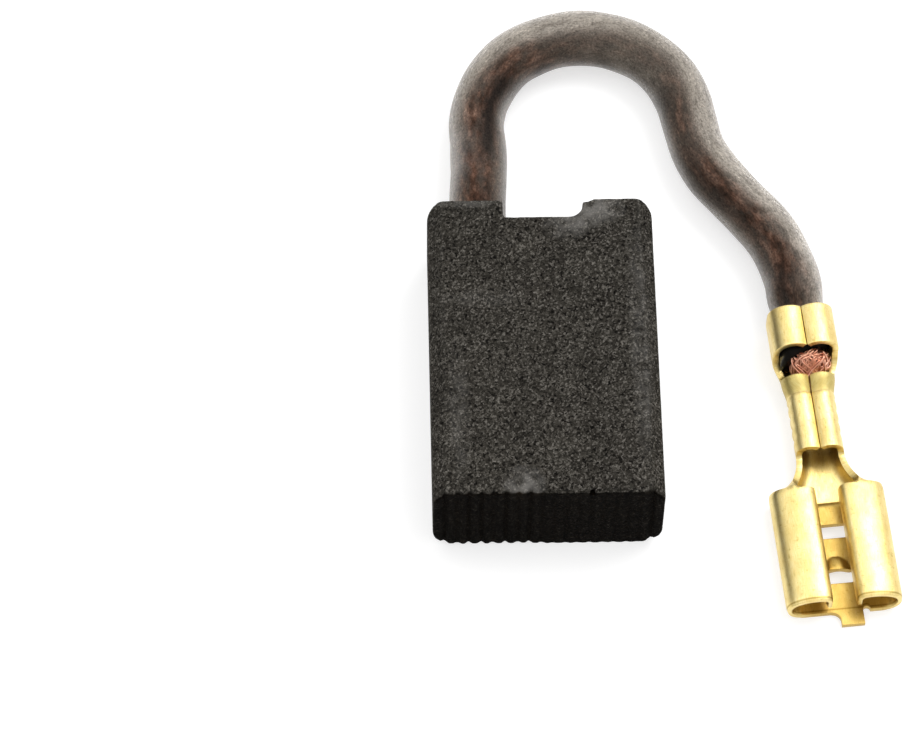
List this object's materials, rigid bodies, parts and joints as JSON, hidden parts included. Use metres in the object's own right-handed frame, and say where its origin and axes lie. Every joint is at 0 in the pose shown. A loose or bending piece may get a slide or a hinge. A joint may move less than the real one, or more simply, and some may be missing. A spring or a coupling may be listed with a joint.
{
  "type": "carbon brush",
  "caption": "Grooved carbon block with a spring notch and a sleeved copper lead that ends in a folded brass push-on receptacle.",
  "frame": {"origin": "centre of the carbon block's back face, on the surface that the brush lies on", "axes": "+Y along the block from its contact face to its lead end, +Z through its thickness, +X across its width, away from the lead"},
  "size_m": [0.0304, 0.0465, 0.007],
  "materials": {
    "graphite": "matt, granular, worn lighter at the edges",
    "copper_powder": "rammed powder, matt",
    "copper_rope": "stranded bare copper",
    "silicone": "hazy translucent silicone over dark copper",
    "brass_sheet": "satin stamped sheet with fine drawing lines"
  },
  "bodies": {
    "root": {"carbon_block": "graphite", "tamping_plug": "copper_powder", "copper_lead": "copper_rope", "sleeve": "silicone", "terminal": "brass_sheet"}
  },
  "joints": []
}
